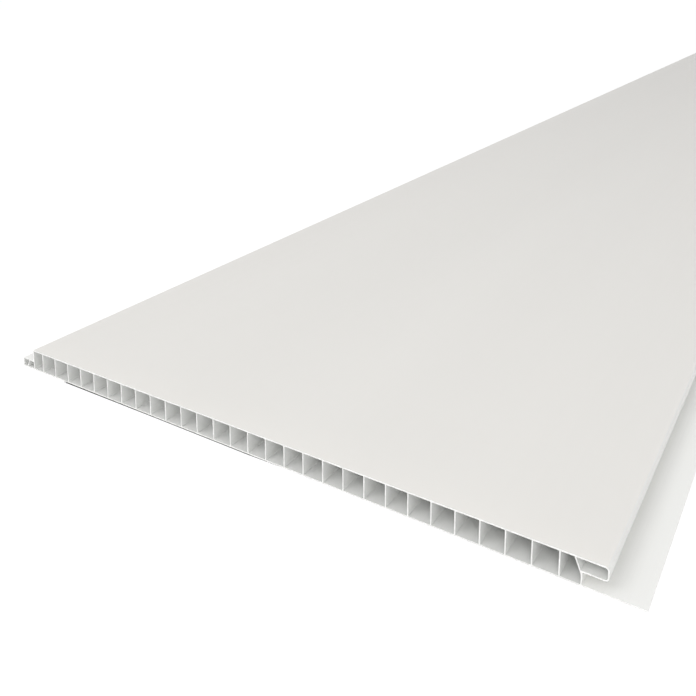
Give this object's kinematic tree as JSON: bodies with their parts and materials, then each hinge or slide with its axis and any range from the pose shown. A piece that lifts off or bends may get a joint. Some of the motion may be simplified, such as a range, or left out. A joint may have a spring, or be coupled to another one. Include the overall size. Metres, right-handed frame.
{
  "type": "pvc wall panel",
  "caption": "Long hollow PVC wall panel with inner webs, a boxed tongue along one edge, and a hooked groove with a nailing flange along the other.",
  "frame": {"origin": "on the back plane, half way along the panel and in the middle of its cover width, which runs from the tongue side's wall to the hook's outer face", "axes": "+X across the panel from the tongue edge to the flange edge, +Y along the panel, +Z out of the wall, from the back to the face"},
  "size_m": [0.2677, 2.7, 0.009],
  "materials": {
    "white_pvc": "satin"
  },
  "bodies": {
    "root": {"wall_panel": "white_pvc"}
  },
  "joints": []
}
